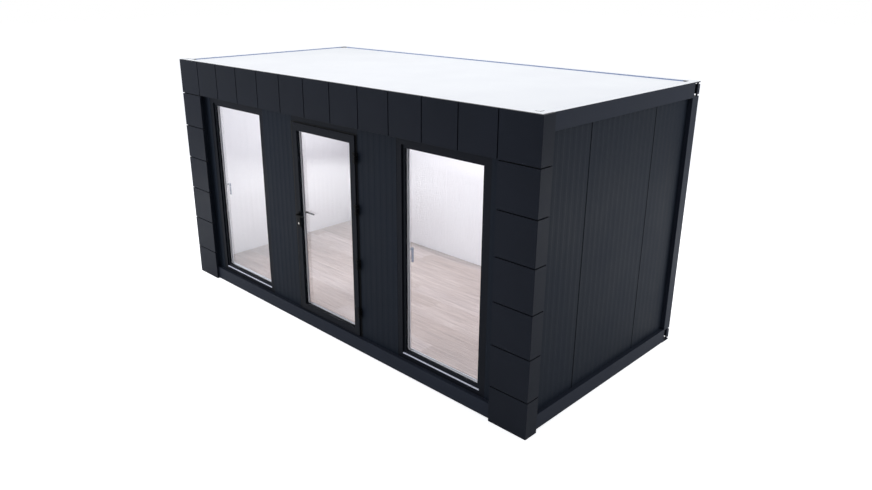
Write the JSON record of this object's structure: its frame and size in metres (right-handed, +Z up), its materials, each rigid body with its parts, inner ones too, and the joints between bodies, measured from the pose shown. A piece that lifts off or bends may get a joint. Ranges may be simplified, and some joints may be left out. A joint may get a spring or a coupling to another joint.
{
  "type": "office container",
  "caption": "Anthracite steel-framed office container with a glazed door between two full-height windows, folded-sheet cladding trim and a white sunk roof.",
  "frame": {"origin": "middle of the building's box on the ground, under the castings", "axes": "+X along the front to the right as seen from the front, +Y from the front to the rear wall, +Z up"},
  "size_m": [5.07, 2.425, 2.6],
  "materials": {
    "frame_paint": "satin",
    "cladding_paint": "satin",
    "wall_panel": "satin",
    "joinery_paint": "satin",
    "window_handle_plastic": "satin",
    "zinc_steel": "matte",
    "floor_laminate": "satin",
    "ceiling_white": "matte",
    "insulation": "matte",
    "roof_coating": "satin",
    "glazing": "clear",
    "black_fittings": "matte",
    "lock_metal": "polished"
  },
  "bodies": {
    "root": {"base_rail_front": "frame_paint", "base_rail_rear": "frame_paint", "base_rail_left": "frame_paint", "base_rail_right": "frame_paint", "lower_castings": "frame_paint", "upper_castings": "frame_paint", "posts_front": "frame_paint", "posts_rear": "frame_paint", "roof_rail_front": "frame_paint", "roof_rail_rear": "frame_paint", "roof_rail_left": "frame_paint", "roof_rail_right": "frame_paint", "floor_joists": "zinc_steel", "underfloor_sheet": "zinc_steel", "floor_boards": "floor_laminate", "ceiling_board": "ceiling_white", "roof_core": "insulation", "roof_sheet": "roof_coating", "corner_drains": "black_fittings", "wall_left": "wall_panel", "wall_right": "wall_panel", "wall_rear": "wall_panel", "wall_front_ends": "wall_panel", "wall_front_beside_door": "wall_panel", "wall_front_over_door": "wall_panel", "wall_front_over_windows": "wall_panel", "cladding_carriers": "zinc_steel", "fascia_cassettes": "cladding_paint", "corner_cassettes_left": "cladding_paint", "corner_cassettes_right": "cladding_paint", "window_frames": "joinery_paint", "window_sashes": "joinery_paint", "window_glass": "glazing", "window_handles": "window_handle_plastic", "door_jamb_left": "joinery_paint", "door_jamb_right": "joinery_paint", "door_head": "joinery_paint", "door_threshold": "zinc_steel", "hinge_frame_halves": "black_fittings"},
    "door": {"door_leaf": "joinery_paint", "door_glass": "glazing", "hinge_leaf_halves": "black_fittings", "handle_plates": "black_fittings", "lock_cylinder": "lock_metal"},
    "lever": {"lever_handle": "black_fittings"}
  },
  "joints": [
    {"name": "door_swing", "type": "hinge", "parent": "root", "child": "door", "pos_m": [0.487, -1.1795, 0.152], "axis": [0, 0, 1], "range_deg": [0, 105]},
    {"name": "lever_turn", "type": "hinge", "parent": "door", "child": "lever", "pos_m": [-0.428, -1.1375, 1.21], "axis": [0, 1, 0], "range_deg": [0, 40], "stiffness_Nm_per_rad": 0.4}
  ]
}
